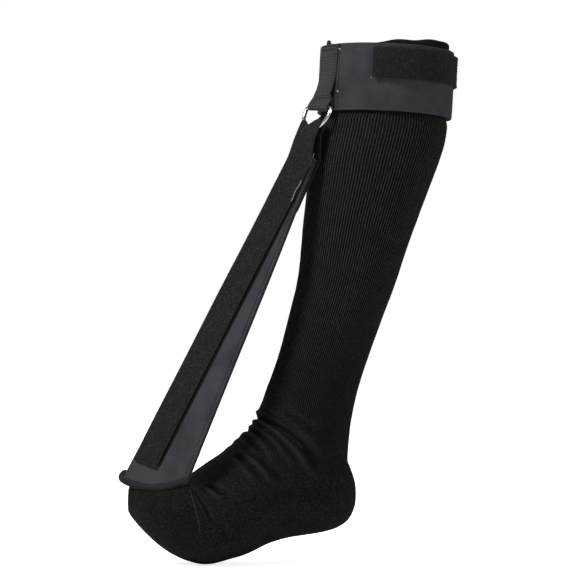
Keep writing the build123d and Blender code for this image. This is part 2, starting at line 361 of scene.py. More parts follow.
def box_axes(name):
    """Axes of a box-shaped node: x down its longest side, y across toward +X, z out of its face."""
    p = points(name)
    x, y = np.linalg.svd(p - p.mean(0))[2][:2]
    x = x if x[2] < 0 else -x
    y = y if y[0] > 0 else -y
    return Axes(p.mean(0), x, y, np.cross(x, y))


def panel_axes():
    """x down the panel's middle from its top edge, y to the near side, z out of its face."""
    out = biggest_face_normal("panel_face")
    out = out if out[1] < 0 else -out
    p = points("panel_face")
    down = box_axes("panel_hook_strip").rows[0]
    edge = p[p @ down < (p @ down).min() + 5 * MM]
    low, high = edge[np.argmin(edge[:, 0])], edge[np.argmax(edge[:, 0])]
    across = unit(high - low - out * np.dot(high - low, out))
    middle = (low + high) / 2
    middle = middle + out * ((p @ out).max() - np.dot(middle, out))
    return Axes(middle, np.cross(across, out), across, out)


def ring_axes():
    """x down from the bar to the bow, y along the bar, z out of the ring."""
    along = -lift_axis
    down = points("d_ring").mean(0) - bar
    down = unit(down - along * np.dot(down, along))
    return Axes(bar, down, along, np.cross(down, along))


panel = panel_axes()
landing = box_axes("panel_hook_strip")
strap = box_axes("pull_strap_hooks")
ring = ring_axes()


def span(name, axes, column):
    """Lowest and highest value of one local coordinate over a CAD node."""
    values = axes.to_local(points(name))[:, column]
    return values.min(), values.max()


def radii(name):
    r = polar(name)[1]
    return r.min(), r.max()


# ---- shared sizes ----
WEB = radii("tab_anchor")[1] - radii("tab_anchor")[0]
CUFF_IN = radii("cuff_lining")[0]
CUFF_OUT = radii("cuff_shell")[1]
CUFF_HALF = polar("cuff_shell")[2].max()
OVERLAP_RISE = radii("flap_shell")[1] - CUFF_OUT
UNDERLAP_END = 225.0
FLAP_ROOT = -110.0
FLAP_END = -178.4
SEAM = 17.2                       # angle of the seam beside the webbing
TAPE = 25 * MM
LIFT_OFF = 3.4 * MM               # the sewn webbing stands off the cuff this much toward its lower end
WEB_TURN = 2.4                    # the webbing sits this far round toward the near side
WEB_LEAN = 1.8                    # and leans this much more at the cuff's top edge
TAPE_THICK = WEB * 0.92           # leaves room for the pile on the tape's face
TAPE_EDGE = 0.45 * MM
STITCH_ROW = 1.2 * MM             # height of one row of knitted loops
WIRE = (span("d_ring", ring, 2)[1] - span("d_ring", ring, 2)[0]) / 2
RING_HALF = span("d_ring", ring, 1)[1] - WIRE
RING_DEPTH = span("d_ring", ring, 0)[1] - WIRE
BACK = span("panel_backing", panel, 2)[0]
STITCH_IN = 2.8 * MM              # stitch rows run this far inside an edge
TOP_HALF = 11.5 * MM
BASE_HALF = span("panel_face", panel, 1)[1]
BASE_DIP = 6 * MM
FAR_EASE = -4.5 * MM              # the far base corner reaches out this much more
NEAR_EASE = -3.5 * MM             # and the near one this much less


def base_corners():
    """Distance down the panel of its base corners: far side, near side."""
    p = panel.to_local(points("panel_face"))
    far = p[p[:, 1] < -BASE_HALF + 1.2 * MM][:, 0]
    near = p[p[:, 1] > BASE_HALF - 1.2 * MM][:, 0]
    return far.min(), near.min()


FAR_CORNER, NEAR_CORNER = base_corners()


def base_curve(side):
    """How far down the base is at a side from -1 (far) to 1 (near)."""
    chord = (FAR_CORNER + NEAR_CORNER) / 2 + (NEAR_CORNER - FAR_CORNER) / 2 * side
    return chord + BASE_DIP * (1 - side ** 2)


def base_side(side):
    """How far across the base is at a side from -1 (far) to 1 (near)."""
    return side * BASE_HALF + FAR_EASE * np.clip(-side, 0, 1) + NEAR_EASE * np.clip(side, 0, 1)


def ease(t):
    t = np.clip(t, 0, 1)
    return t * t * (3 - 2 * t)


def bell(x, width):
    return np.exp(-(x / width) ** 2)


def flow(keys, step, soften):
    """Rows of points laid smoothly through key rows, step apart and rounded over soften."""
    keys = np.array(keys, float)
    at = np.linalg.norm(np.diff(keys, axis=0), axis=-1).mean(1)
    at = np.concatenate([[0], np.cumsum(at)])
    count = int(at[-1] / step) + 2
    where = np.linspace(0, at[-1], count)
    flat = keys.reshape(len(keys), -1)
    rows = np.stack([np.interp(where, at, flat[:, k]) for k in range(flat.shape[1])], -1)
    reach = max(1, int(2.5 * soften / step))
    kernel = bell(np.arange(-reach, reach + 1) * step, soften)
    kernel = kernel / kernel.sum()
    before = 2 * rows[0] - rows[reach:0:-1]
    after = 2 * rows[-1] - rows[-2:-reach - 2:-1]
    padded = np.concatenate([before, rows, after])
    smooth = sum(k * padded[i:i + count] for i, k in enumerate(kernel))
    return smooth.reshape(count, *keys.shape[1:])


# ---- finishes ----
class Finish:
    """A procedural material: a base colour, then grain, weave, specks, wear, painted shade and painted
    highlights added one by one.
    """

    def __init__(self, name, colour, rough, sheen=0.0, metallic=0.0):
        self.material = bpy.data.materials.new(name)
        self.material.use_nodes = True
        self.tree = self.material.node_tree
        self.shader = self.tree.nodes["Principled BSDF"]
        self.shader.inputs["Roughness"].default_value = rough
        self.shader.inputs["Metallic"].default_value = metallic
        self.shader.inputs["Sheen Weight"].default_value = sheen
        self.shader.inputs["Sheen Roughness"].default_value = 0.6
        self.shader.inputs["Specular IOR Level"].default_value = 0.5 if metallic else 0.12
        self.place = self.tree.nodes.new("ShaderNodeTexCoord")
        self.colour = self.tree.nodes.new("ShaderNodeRGB").outputs[0]
        self.colour.default_value = (*colour, 1)
        self.normal = None

    def math(self, operation, a, b=None):
        node = self.tree.nodes.new("ShaderNodeMath")
        node.operation = operation
        for socket, value in zip(node.inputs, (a, b)):
            if isinstance(value, (int, float)):
                socket.default_value = value
            elif value is not None:
                self.tree.links.new(value, socket)
        return node.outputs[0]

    def noise(self, size, detail=2.0, stretch=(1, 1, 1)):
        """Noise whose lumps are about size metres across."""
        mapping = self.tree.nodes.new("ShaderNodeMapping")
        mapping.inputs["Scale"].default_value = [s / size for s in stretch]
        self.tree.links.new(self.place.outputs["Object"], mapping.inputs["Vector"])
        node = self.tree.nodes.new("ShaderNodeTexNoise")
        node.inputs["Scale"].default_value = 1
        node.inputs["Detail"].default_value = detail
        self.tree.links.new(mapping.outputs[0], node.inputs["Vector"])
        return node.outputs["Fac"]

    def uv(self, side):
        split = self.tree.nodes.new("ShaderNodeSeparateXYZ")
        self.tree.links.new(self.place.outputs["UV"], split.inputs[0])
        return split.outputs[side]

    def attribute(self, name):
        """A number stored on the mesh's points."""
        node = self.tree.nodes.new("ShaderNodeAttribute")
        node.attribute_name = name
        return node.outputs["Fac"]

    def wave(self, side, pitch):
        """Sine ridges across one side of the UV map, pitch in UV units."""
        return self.math("SINE", self.math("MULTIPLY", self.uv(side), 2 * pi / pitch))

    def between(self, value, low, high, out_low=0.0, out_high=1.0):
        node = self.tree.nodes.new("ShaderNodeMapRange")
        self.tree.links.new(value, node.inputs["Value"])
        limits = {"From Min": low, "From Max": high, "To Min": out_low, "To Max": out_high}
        for name, number in limits.items():
            node.inputs[name].default_value = number
        return node.outputs[0]

    def blend_to(self, colour, share):
        """Colour moves toward another colour by a share from 0 to 1."""
        node = self.tree.nodes.new("ShaderNodeMix")
        node.data_type = "RGBA"
        self.tree.links.new(share, node.inputs["Factor"])
        self.tree.links.new(self.colour, node.inputs["A"])
        node.inputs["B"].default_value = (*colour, 1)
        self.colour = node.outputs["Result"]

    def bump(self, height, depth, strength=1.0):
        node = self.tree.nodes.new("ShaderNodeBump")
        node.inputs["Distance"].default_value = depth
        node.inputs["Strength"].default_value = strength
        self.tree.links.new(height, node.inputs["Height"])
        if self.normal is not None:
            self.tree.links.new(self.normal, node.inputs["Normal"])
        self.normal = node.outputs["Normal"]

    def done(self):
        self.tree.links.new(self.colour, self.shader.inputs["Base Color"])
        if self.normal is not None:
            self.tree.links.new(self.normal, self.shader.inputs["Normal"])
        return self.material


def knit_finish():
    """Cotton knit: heathered yarn, soft patches, painted shade in the grooves between the ribs and painted
    highlight on their crests, painted shade and highlight on the folds, and painted shade darkening the lower
    leg and foot.
    """
    f = Finish("knit", (0.0036, 0.0032, 0.0029), 0.95, sheen=0.006)
    f.blend_to((0.026, 0.0232, 0.0212), f.between(f.noise(1.3 * MM, 2), 0.46, 0.64, 0, 0.85))
    f.blend_to((0.0022, 0.0020, 0.0018), f.between(f.noise(13 * MM), 0.45, 0.75, 0, 0.5))
    rib = f.math("COSINE", f.math("MULTIPLY", f.uv(0), 2 * pi))
    # painted shade in the grooves between the ribs
    groove = f.between(rib, 0.0, 0.85)
    f.blend_to((0.0008, 0.0007, 0.0007), f.math("MULTIPLY", groove, f.attribute("ribbed")))
    # painted highlight on the rib crests
    ridge = f.between(rib, -0.4, -1.0, 0, 0.6)
    f.blend_to((0.036, 0.0325, 0.030), f.math("MULTIPLY", ridge, f.attribute("ribbed")))
    # painted shade: knit darker from the top of the leg down to the ankle and over the foot
    f.blend_to((0.0030, 0.0027, 0.0024), f.attribute("dense"))
    # painted shade in the fold grooves and painted highlight on the fold crests
    f.blend_to((0.0010, 0.0009, 0.0008), f.between(f.attribute("fold"), -0.1, -1.3, 0, 0.85))
    f.blend_to((0.024, 0.0215, 0.0195), f.between(f.attribute("fold"), 0.15, 1.2, 0, 0.55))
    f.bump(f.noise(0.9 * MM, 3), 0.35 * MM, 0.8)
    return f.done()


def laminate_finish():
    """Smooth stretch face of the padded laminate: fine jersey grain and handling marks."""
    f = Finish("laminate", (0.034, 0.0355, 0.041), 0.85, sheen=0.02)
    f.blend_to((0.050, 0.052, 0.060), f.between(f.noise(0.9 * MM), 0.45, 0.7, 0, 0.7))
    f.blend_to((0.018, 0.0188, 0.022), f.between(f.noise(26 * MM), 0.42, 0.72, 0, 0.75))
    f.bump(f.noise(0.5 * MM), 0.06 * MM, 0.6)
    f.bump(f.noise(9 * MM), 0.5 * MM, 0.35)
    return f.done()


def foam_finish():
    f = Finish("foam", (0.032, 0.032, 0.037), 0.95)
    f.blend_to((0.012, 0.012, 0.015), f.between(f.noise(0.45 * MM, 4), 0.5, 0.62))
    f.bump(f.noise(0.4 * MM, 4), 0.2 * MM)
    return f.done()


def tape_finish(name, colour, speck, bristle):
    """Hook or loop tape: a thick pile mottled with lighter specks of its own, and sparse brighter specks
    painted in as glints where the pile catches the light.
    """
    f = Finish(name, colour, 0.95, sheen=0.02)
    f.blend_to(speck, f.between(f.noise(1.2 * MM, 3), 0.5, 0.64, 0, 0.8))
    # painted highlight: sparse bright specks standing for glints of the pile
    f.blend_to(tuple(c * 2.4 for c in speck), f.between(f.noise(1.7 * MM, 1), 0.70, 0.76, 0, 0.75))
    f.bump(f.noise(bristle, 4), 0.6 * MM, 0.9)
    return f.done()


def webbing_finish():
    """Woven polyester: rungs across, fine warp lines down."""
    f = Finish("webbing", (0.036, 0.037, 0.034), 0.8, sheen=0.03)
    rungs = f.wave(1, 0.23)
    f.blend_to((0.014, 0.014, 0.014), f.between(rungs, -0.1, -1.0, 0, 0.75))
    f.blend_to((0.060, 0.060, 0.058), f.between(f.noise(0.9 * MM), 0.58, 0.72, 0, 0.6))
    f.bump(f.math("ADD", rungs, f.math("MULTIPLY", f.noise(0.5 * MM), 0.8)), 0.14 * MM, 0.9)
    return f.done()


def thread_finish(name, colour):
    f = Finish(name, colour, 0.7, sheen=0.03)
    f.blend_to(tuple(c * 0.45 for c in colour), f.between(f.noise(0.4 * MM), 0.45, 0.65, 0, 0.8))
    f.bump(f.noise(0.25 * MM), 0.1 * MM)
    return f.done()


def steel_finish():
    """Polished nickel plate with fine scuffs."""
    f = Finish("steel", (0.68, 0.68, 0.67), 0.16, metallic=1.0)
    rough = f.between(f.noise(1.5 * MM, 5, (1, 1, 6)), 0.4, 0.75, 0.08, 0.3)
    f.tree.links.new(rough, f.shader.inputs["Roughness"])
    f.bump(f.noise(0.3 * MM, 3), 0.01 * MM, 0.4)
    return f.done()


KNIT = knit_finish()
LAMINATE = laminate_finish()
FOAM = foam_finish()
LOOP = tape_finish("loop_tape", (0.0085, 0.0085, 0.009), (0.026, 0.026, 0.027), 0.7 * MM)
HOOK = tape_finish("hook_tape", (0.0055, 0.0055, 0.0055), (0.012, 0.012, 0.012), 1.0 * MM)
WEBBING = webbing_finish()
DARK_THREAD = thread_finish("dark_thread", (0.007, 0.007, 0.008))
GREY_THREAD = thread_finish("grey_thread", (0.055, 0.056, 0.062))
SELVEDGE = thread_finish("selvedge", (0.020, 0.020, 0.020))
LIGHT_THREAD = thread_finish("light_thread", (0.42, 0.42, 0.43))
STEEL = steel_finish()


def store(obj, name, values):
    """Keeps a number for every point of a mesh, for its material to read."""
    layer = obj.data.attributes.new(name, "FLOAT", "POINT")
    layer.data.foreach_set("value", np.asarray(values, float).ravel())


def finish_piece(obj, material, body=None, nodes=()):
    obj.data.materials.clear()
    obj.data.materials.append(material)
    if body:
        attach(obj, body)
    if nodes:
        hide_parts(*nodes)
    return obj


# ---- sock ----
RIBS = 130
RIB_SHAPE = np.array([-0.62, 0.05, 0.26, 0.26, 0.05]) * MM
SOCK_WALL = 1.6 * MM
LOW_SHADE_AMOUNT = 0.42                  # painted shade: how much darker the knit is painted from the top of the leg down to the ankle and over the foot, where less light falls
CUFF_BOTTOM = -CUFF_HALF
FAN_PIVOT = np.array([0, ankle[1] - 75 * MM, ankle[2] + 67 * MM])
LEG_TOP = -28 * MM


def cad_surface(*names):
    verts, faces = [], []
    for name in names:
        mesh = frame["nodes"][name].data
        first = len(verts)
        verts += [v.co.copy() for v in mesh.vertices]
        faces += [[first + i for i in p.vertices] for p in mesh.polygons]
    return BVHTree.FromPolygons(verts, faces)


worn = cad_surface("sock_leg", "sock_foot", "sock_toe")


def hit(start, way):
    """First point of the sock's CAD surface met from start, or None."""
    return worn.ray_cast(Vector(start), Vector(way))[0]


def sock_stations():
    """Section planes down the leg, fanned round the ankle, then along the foot, with a running count."""
    stations = []
    for z in np.arange(LEG_TOP, FAN_PIVOT[2], -2.5 * MM):
        stations.append(((0, 0, z), (1, 0, 0), (0, 1, 0), (z - FAN_PIVOT[2]) / -MM))
    for turn in np.arange(0, 90, 1.25):
        a = radians(turn)
        stations.append((FAN_PIVOT, (1, 0, 0), (0, cos(a), -sin(a)), turn))
    toe_tip = furthest_toe()
    for y in np.linspace(FAN_PIVOT[1], toe_tip, 30):
        done = (FAN_PIVOT[1] - y) / (FAN_PIVOT[1] - toe_tip)
        turn = radians(25) * ease(done)
        stations.append(((0, y, 0), (cos(turn), sin(turn), 0), (0, 0, -1), 90 + (FAN_PIVOT[1] - y) / MM))
    return stations


def furthest_toe():
    """Furthest place on the foot's middle line that the toe cap still reaches."""
    y = FAN_PIVOT[1]
    while hit((0, y - 0.5 * MM, 0), (0, 0, -1)) is not None:
        y -= 0.5 * MM
    return y


def sample_sock():
    """Radius of the CAD surface round each station, with the centres and directions."""
    turns = np.radians(np.arange(0, 360, 3))
    centres, firsts, seconds, radius, counts = [], [], [], [], []
    for origin, first, second, count in sock_stations():
        origin, first, second = (np.asarray(v, float) for v in (origin, first, second))
        fanned = 0 <= count < 90
        inner = origin if fanned else origin - second * 0.5
        near = hit(inner, second)
        far = hit(origin + second * 0.6, -second)
        centre = (np.array(near) + np.array(far)) / 2
        ways = np.sin(turns)[:, None] * first - np.cos(turns)[:, None] * second
        row = []
        for way in ways:
            found = hit(centre + way * 0.13, -way)
            row.append(np.nan if found is None else np.linalg.norm(np.array(found) - centre))
        centres.append(centre)
        firsts.append(first)
        seconds.append(second)
        radius.append(row)
        counts.append(count)
    return (np.array(v, float) for v in (centres, firsts, seconds, radius, counts))


def middle_of(values, reach, axis, wrap):
    """Running median, which drops single bad readings."""
    pad = [(reach, reach) if k == axis else (0, 0) for k in range(values.ndim)]
    padded = np.pad(values, pad, mode="wrap" if wrap else "edge")
    shifts = [np.take(padded, range(k, k + values.shape[axis]), axis=axis) for k in range(2 * reach + 1)]
    return np.nanmedian(np.stack(shifts), 0)


def crease(s, angle, start, end, depth, width):
    """A fold across the stations from (count, angle) start to end: a groove between two soft rolls."""
    share = (angle - start[1]) / (end[1] - start[1])
    line = start[0] + (end[0] - start[0]) * share
    fade = ease(share / 0.22) * ease((1 - share) / 0.35)
    away = s - line
    groove = -bell(away, width)
    groove += 0.45 * bell(away - 1.7 * width, width)
    groove += 0.4 * bell(away + 1.8 * width, width)
    return depth * fade * groove


# Where each crease starts and ends, as (station, angle), then its depth in millimetres and its width.
CREASES = (
    ((33.0, -48), (42.5, 100), 3.0, 2.6),
    ((47.0, -30), (55.0, 62), 1.3, 2.2),
    ((28.5, -20), (35.0, 66), 1.1, 1.9),
    ((39.0, -40), (50.0, 82), 1.6, 1.9),
    ((57.0, -25), (64.0, 60), 1.2, 2.0),
    ((75.5, 8), (71.0, 72), 1.8, 2.3),
    ((101.0, 30), (96.5, 66), 1.0, 1.6),
    ((111.0, 36), (103.0, 74), 0.9, 1.5),
    ((68.0, 20), (60.5, 84), 1.5, 2.2),
    ((105.0, 28), (92.0, 72), 1.6, 2.6),
    ((124.0, 58), (112.0, 94), 1.9, 2.4),
    ((44.0, -22), (37.0, -112), 1.7, 2.8),
    ((66.0, -12), (60.0, -84), 1.2, 2.4),
    ((98.0, -25), (88.0, -76), 1.1, 2.8),
    ((26.0, 30), (31.0, 92), 0.8, 2.4),
)


def sock_folds(s, angle):
    """Folds of the knit at the ankle and over the toes; angle runs from -180 to 180, 0 on top."""
    total = np.zeros_like(s)
    for start, end, depth, width in CREASES:
        total += crease(s, angle, start, end, depth * MM, width)
    for _ in range(16):
        s0 = rng.uniform(18, 100)
        a0 = rng.uniform(-115, 70)
        total += crease(s, angle, (s0, a0), (s0 + rng.uniform(-6, 6), a0 + rng.uniform(25, 55)),
                        rng.uniform(0.15, 0.45) * MM, rng.uniform(1.4, 2.6))
    return total


def sock_base(angle):
    """The CAD surface at every rib point, smoothed, with the ways out of it and the way ahead."""
    centres, firsts, seconds, radius, counts = sample_sock()
    radius = middle_of(radius, 2, 1, True)
    radius = middle_of(radius, 1, 0, False)
    known = np.arange(radius.shape[1] + 1) * 360 / radius.shape[1]
    full = np.stack([np.interp(angle, known, np.append(row, row[0])) for row in radius])
    kernel = np.array([1, 4, 6, 4, 1]) / 16
    padded = np.pad(full, ((2, 2), (0, 0)), mode="edge")
    full = sum(k * padded[i:i + len(full)] for i, k in enumerate(kernel))
    a = np.radians(angle)[None, :, None]
    ways = np.sin(a) * firsts[:, None] - np.cos(a) * seconds[:, None]
    ahead = unit(np.cross(seconds[-1], firsts[-1]))
    return centres[:, None] + ways * full[..., None], ways, counts, ahead


def sock_lift(base, s, angle, folds):
    """How far the knit stands off the CAD: folds, slack, and the swell just under the cuff."""
    lift = folds + noise(base, 42 * MM, 3) * 0.35 * MM + noise(base, 17 * MM, 4) * 0.12 * MM
    below = CUFF_BOTTOM - cuff.to_local(base)[..., 2]
    frontness = 0.35 + 0.65 * (1 + np.cos(np.radians(angle))) / 2
    swell = ease((below - 0.5 * MM) / (6 * MM))
    lift += 3.8 * MM * frontness * swell * ease((48 * MM - below) / (42 * MM))
    calm = ease((s[-1, 0] + 4 - s) / 12)
    return lift * calm


def double_wall(outer, inner):
    """Corners and faces of a sleeve: outer and inner skins, joined at the mouth, closed at the tip."""
    nu, nv = outer.shape[:2]
    inside = nu * nv
    last = inside + (len(inner) - 1) * nv
    verts = np.concatenate([outer.reshape(-1, 3), inner.reshape(-1, 3)])
    faces = grid_faces(nu, nv, wrap=True, flip=True)
    faces += grid_faces(len(inner), nv, inside, wrap=True)
    faces += [(j, inside + j, inside + (j + 1) % nv, (j + 1) % nv)[::-1] for j in range(nv)]
    faces += [tuple(range((nu - 1) * nv, nu * nv))]
    faces += [tuple(range(last, last + nv))[::-1]]
    return verts, faces


def knit_uv(grid):
    """Ribs counted round the sock, and knitted rows counted down it."""
    rib_count = np.arange(grid.shape[1]) / len(RIB_SHAPE)
    row_count = run_lengths(grid, 0).mean(1) / STITCH_ROW
    return np.stack(np.broadcast_arrays(rib_count[None], row_count[:, None]), -1).reshape(-1, 2)


def build_sock():
    round_points = RIBS * len(RIB_SHAPE)
    angle = np.arange(round_points) * 360 / round_points
    base, ways, counts, ahead = sock_base(angle)
    s, turned = np.meshgrid(counts, (angle + 180) % 360 - 180, indexing="ij")
    folds = sock_folds(s, turned)
    shaped = base + ways * sock_lift(base, s, turned, folds)[..., None]
    plain_from = 6 + 30 * np.abs(turned) / 180
    ribbed = 1 - ease((s - plain_from) / 14)
    shaped = pull_to_binding(shaped, s)
    ribs = np.tile(RIB_SHAPE, RIBS)[None] * ribbed
    outer = cap_rows(shaped + ways * ribs[..., None], ahead, 3.5 * MM)
    inner = cap_rows((shaped - ways * SOCK_WALL)[::4], ahead, 0.2 * MM)
    verts, faces = double_wall(outer, inner)
    obj = make_object("sock", verts, faces, np.concatenate([knit_uv(outer), knit_uv(inner)]))
    # painted shade, growing from the top of the leg to the ankle and full over the foot and toe tip
    dense = LOW_SHADE_AMOUNT * ease((s + 90) / 130)
    cap = len(outer) - len(s)
    for name, values, at_tip in (("dense", dense, LOW_SHADE_AMOUNT), ("fold", folds / MM, 0), ("ribbed", ribbed, 0)):
        outside = np.concatenate([values, np.full((cap, round_points), float(at_tip))])
        store(obj, name, np.concatenate([outside.ravel(), np.zeros(len(inner) * round_points)]))
    finish_piece(obj, KNIT, None, ("sock_leg", "sock_foot", "sock_toe"))
    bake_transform(obj)


def base_seam():
    """Line under the toe panel's bound base, where the knit is sewn to it."""
    side = np.linspace(-1, 1, 60)
    x = base_curve(side) + 1.6 * MM
    return panel.to_row(np.stack([x, base_side(side), np.full_like(side, BACK + 0.3 * MM)], -1))


def pull_to_binding(grid, count):
    """Draws the top of the toes up to the panel's base."""
    seam = base_seam()
    away = np.linalg.norm(grid[..., None, :2] - seam[:, :2], axis=-1)
    nearest = away.argmin(-1)
    away = np.take_along_axis(away, nearest[..., None], -1)[..., 0]
    ahead = (grid[..., :2] - seam[nearest][..., :2]) @ panel.rows[2][:2] > 0
    low, high = grid[..., 2].min(1, keepdims=True), grid[..., 2].max(1, keepdims=True)
    height = (grid[..., 2] - low) / np.maximum(high - low, MM) * 2 - 1
    near = bell(away, np.where(ahead, 18 * MM, 13 * MM)) * ease((count - 92) / 12)
    far_side = ease((5 * MM - panel.to_local(grid)[..., 1]) / (20 * MM))
    top = ease((height + 0.15) / 0.6)
    up = near * top
    out = near * np.maximum(top, ease((height + 0.85) / 0.9) * far_side)
    raised = grid.copy()
    raised[..., 2] += np.clip(seam[nearest][..., 2] - grid[..., 2], 0, None) * up
    raised[..., :2] += (seam[nearest][..., :2] - grid[..., :2]) * (out * 0.9)[..., None]
    return raised


def cap_rows(grid, out, bulge):
    """Adds closing rows to the last ring, shrinking to a small round tip."""
    last = grid[-1]
    centre = last.mean(0)
    turns = np.radians((25, 45, 62, 76, 86))
    rows = [centre + (last - centre) * cos(t) + out * bulge * sin(t) for t in turns]
    return np.concatenate([grid, np.array(rows)])


build_sock()


def build_welt():
    """Doubled ribbed band that stands open above the cuff, its rim pulled up and down a little."""
    marks = np.array([0, 20, 45, 60, 75, 100, 130, 155, 180, 215, 245, 290, 318, 333, 348])
    rise = np.array([0, -0.5, 0.5, 2, 4.5, 6.5, 7.5, 8, 6, 4, 2, 0, 4, 8, 4]) * MM
    turns = np.arange(RIBS * 5) * 360 / (RIBS * 5)
    rim = np.interp(turns, np.append(marks, 360), np.append(rise, rise[0]))
    spread = bell(np.arange(-60, 61), 18)
    rim = np.convolve(np.tile(rim, 3), spread / spread.sum(), "same")[len(turns):2 * len(turns)]
    rim += 0.5 * MM * np.sin(np.radians(turns * 7)) + 0.35 * MM * np.sin(np.radians(turns * 11 + 40))
    outer = CUFF_IN - 0.7 * MM
    inner = outer - 3.0 * MM
    bottom = -4 * MM
    profile = [(outer, bottom, 0, 1)]
    profile += [(outer, bottom, share, 1) for share in np.linspace(0.1, 1, 12)]
    middle = (outer + inner) / 2
    bend = (outer - inner) / 2
    over = np.radians((20, 45, 70, 90, 110, 135, 160))
    profile += [(middle + bend * cos(t), bend * sin(t), 2, cos(t)) for t in over]
    profile += [(inner, bottom, share, -1) for share in np.linspace(1, 0, 10)]
    rib = np.tile([-0.3, 0.05, 0.2, 0.2, 0.05], RIBS) * MM
    top = CUFF_HALF + rim - bend
    rows = []
    lean = 0.5 * MM * np.sin(np.radians(turns * 3 + 20))
    for r, z, share, side in profile:
        height = top + z if share == 2 else bottom + (top - bottom) * share
        above = ease((height - CUFF_HALF + 6 * MM) / (14 * MM))
        rows.append(around(turns, r + rib * side + lean * above - 1.0 * MM * above, height))
    grid = np.array(rows)
    nu, nv = grid.shape[:2]
    faces = grid_faces(nu, nv, wrap=True)
    faces += [((nu - 1) * nv + j, (nu - 1) * nv + (j + 1) % nv, (j + 1) % nv, j) for j in range(nv)]
    rib_count = np.broadcast_to(np.arange(nv)[None] / 5, (nu, nv))
    uv = np.stack([rib_count, run_lengths(grid, 0) / STITCH_ROW], -1).reshape(-1, 2)
    obj = make_object("sock_welt_band", cuff.to_row(grid).reshape(-1, 3), faces, uv)
    store(obj, "ribbed", np.full(nu * nv, 0.7))
    finish_piece(obj, KNIT, "leg", ("sock_welt",))


build_welt()


# ---- calf cuff ----
def cuff_swell(turns, heights):
    """Outward swell of the padded band: dips at the stitch rows, slack between them."""
    edge = CUFF_HALF - np.abs(heights)
    dips = -0.4 * MM * bell(edge - STITCH_IN, 1.3 * MM) - 0.25 * MM * bell(edge, 1.2 * MM)
    slack = np.sin(np.radians(turns * 3 + 50)) * np.cos(heights / CUFF_HALF * 1.3)
    ripples = np.sin(np.radians(turns * 8 + 10) + heights / (11 * MM))
    return dips + 0.25 * MM * slack + 0.12 * MM * ripples


def flap_lift(turns):
    """Height of the flap over the band: none at its root, over the underlap at its end."""
    return OVERLAP_RISE * ease((FLAP_ROOT - turns) / 19)


def band_layer(name, node, start, end, share, material):
    """One layer of the cuff from angle start down to end; share is how much it follows the swell."""
    low, high = radii("cuff_" + node)
    length = abs(start - end)
    turns = start - length * edged(int(length / 1.6), np.radians(length) * CUFF_OUT, 0.6 * MM)
    heights = -CUFF_HALF + 2 * CUFF_HALF * edged(46, 2 * CUFF_HALF, 0.6 * MM)
    t, z = np.meshgrid(turns, heights, indexing="xy")
    r = (low + high) / 2 + flap_lift(t) + cuff_swell(t, z) * share
    grid = cuff.to_row(around(t, r, z))
    away = cuff.to_row(around(t, r + 1, z)) - grid
    obj = slab(name, grid, (high - low) * 0.98, away, edge=0.6 * MM)
    return finish_piece(obj, material)


FLAP_BEND = (cuff.to_row(around(-96, CUFF_OUT, 0)), cuff.to_row(around(-128, CUFF_OUT, 0)))


def build_cuff():
    layers = (("shell", 1.0, LAMINATE, "laminate"), ("foam", 0.5, FOAM, "foam"),
              ("lining", 0.1, LAMINATE, "laminate"))
    for node, share, material, slot in layers:
        band = band_layer("cuff_band_" + node, node, UNDERLAP_END, SEAM + 0.25, share, material)
        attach(band, "leg")
        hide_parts("cuff_" + node)
        flap = band_layer("cuff_wrap_" + node, node, SEAM - 0.25, FLAP_END, share, material)
        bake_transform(flap)
        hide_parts("flap_" + node)


def cuff_row(start, end, height):
    """A row of stitches round the cuff at one height."""
    turns = np.linspace(start, end, 240)
    r = CUFF_OUT + flap_lift(turns) + cuff_swell(turns, np.full_like(turns, height))
    path = cuff.to_row(around(turns, r, height))
    outs = cuff.to_row(around(turns, r + 1, height)) - path
    return sew("row", path, outs)


def build_cuff_stitches():
    level = CUFF_HALF - STITCH_IN
    rows = [cuff_row(SEAM + 1.4, 178, side * level) for side in (-1, 1)]
    finish_piece(join("cuff_stitches", rows), GREY_THREAD, "leg", ("cuff_stitching",))
    rows = [cuff_row(SEAM - 1.4, FLAP_END + 3, side * level) for side in (-1, 1)]
    flap = finish_piece(join("flap_stitches", rows), GREY_THREAD)
    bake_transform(flap)
    heights = np.linspace(-CUFF_HALF + 1 * MM, CUFF_HALF - 1 * MM, 60)
    line = cuff.to_row(around(SEAM, CUFF_OUT - 0.9 * MM, heights))
    # black cord sunk in the gap between band and flap: partly the seam's thread, partly painted shade
    # blackening the line beside the webbing
    seam = tube("cuff_seam", line, 0.75 * MM, sides=8)
    finish_piece(seam, DARK_THREAD, "leg")
    knots = []
    for height in (CUFF_HALF - 5 * MM, -12.5 * MM):
        at = around(np.linspace(SEAM - 0.8, SEAM + 0.9, 8), CUFF_OUT + 0.25 * MM, height)
        at[:, 2] += 0.7 * MM * np.sin(np.linspace(0, 5, 8))
        knots.append(tube("knot", cuff.to_row(at), 0.38 * MM, sides=7))
    finish_piece(join("seam_knots", knots), LIGHT_THREAD, "leg")


build_cuff()
build_cuff_stitches()


# ---- closing tape ----
TAB_ROOT = radii("cuff_tab")[1] - WEB / 2     # radius of the tape where it is sewn to the flap
TAB_REST = radii("cuff_tab")[0] + WEB / 2     # and where it lies on the cuff
TAB_BOTTOM = polar("cuff_tab")[2].min()
TAB_TOP = polar("cuff_tab")[2].max()
TAB_SEWN, TAB_FREE = 203.0, 50.0              # angles of its two ends


